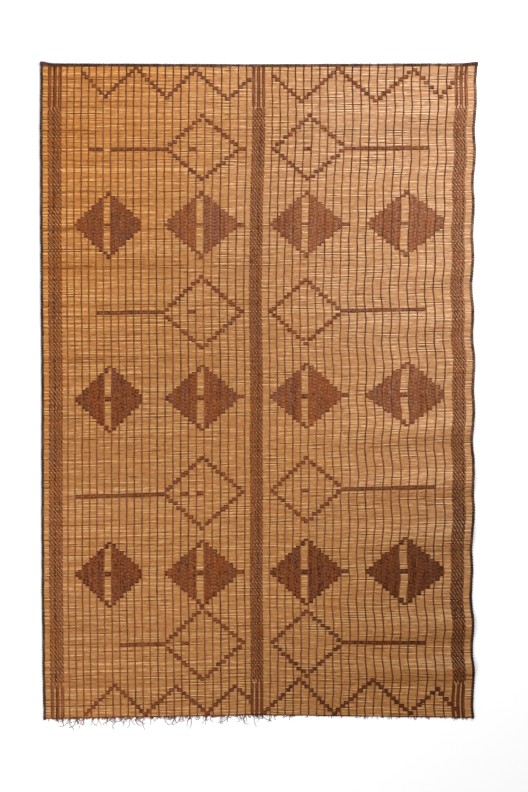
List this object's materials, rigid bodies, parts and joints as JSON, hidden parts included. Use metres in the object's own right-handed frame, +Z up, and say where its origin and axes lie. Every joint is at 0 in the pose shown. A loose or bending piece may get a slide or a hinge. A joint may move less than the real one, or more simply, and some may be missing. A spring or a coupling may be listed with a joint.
{
  "type": "reed and leather mat",
  "caption": "Large flat floor mat of crosswise reeds bound with brown leather thongs that form bands, diamonds, arrows and zigzags, with bound edges and a frayed foot.",
  "frame": {"origin": "centre of the mat's outline, on the floor under it", "axes": "+X across the mat along the reeds, +Y along the mat from its frayed foot to its bound head, +Z up"},
  "size_m": [1.8199, 2.7675, 0.0084],
  "materials": {
    "reeds": "golden straw reeds, satin, uneven from reed to reed",
    "thongs": "worn brown goat leather thongs, matt",
    "floats": "close-set brown leather thongs, matt, some redder and some darker",
    "binding": "dark leather wrapping, worn grey in places"
  },
  "bodies": {
    "root": {"reed_field": "reeds", "binding_left": "binding", "binding_right": "binding", "binding_head": "binding", "band_left": "floats", "band_middle": "floats", "band_right": "floats", "thong_left_1": "thongs", "thong_left_2": "thongs", "thong_left_3": "thongs", "thong_left_4": "thongs", "thong_left_5": "thongs", "thong_left_6": "thongs", "thong_left_7": "thongs", "thong_left_8": "thongs", "thong_left_9": "thongs", "thong_left_10": "thongs", "thong_left_11": "thongs", "thong_left_12": "thongs", "thong_right_1": "thongs", "thong_right_2": "thongs", "thong_right_3": "thongs", "thong_right_4": "thongs", "thong_right_5": "thongs", "thong_right_6": "thongs", "thong_right_7": "thongs", "thong_right_8": "thongs", "thong_right_9": "thongs", "thong_right_10": "thongs", "thong_right_11": "thongs", "diamond_column_1_row_1": "floats", "diamond_column_1_row_2": "floats", "diamond_column_1_row_3": "floats", "diamond_column_2_row_1": "floats", "diamond_column_2_row_2": "floats", "diamond_column_2_row_3": "floats", "diamond_column_3_row_1": "floats", "diamond_column_3_row_2": "floats", "diamond_column_3_row_3": "floats", "diamond_column_4_row_1": "floats", "diamond_column_4_row_2": "floats", "diamond_column_4_row_3": "floats", "arrow_left_1": "floats", "arrow_left_2": "floats", "arrow_left_3": "floats", "arrow_left_4": "floats", "arrow_right_1": "floats", "arrow_right_2": "floats", "arrow_right_3": "floats", "arrow_right_4": "floats", "zigzag_head_left": "floats", "zigzag_head_right": "floats", "zigzag_foot_left": "floats", "zigzag_foot_right": "floats", "fringe_foot": "thongs"}
  },
  "joints": []
}
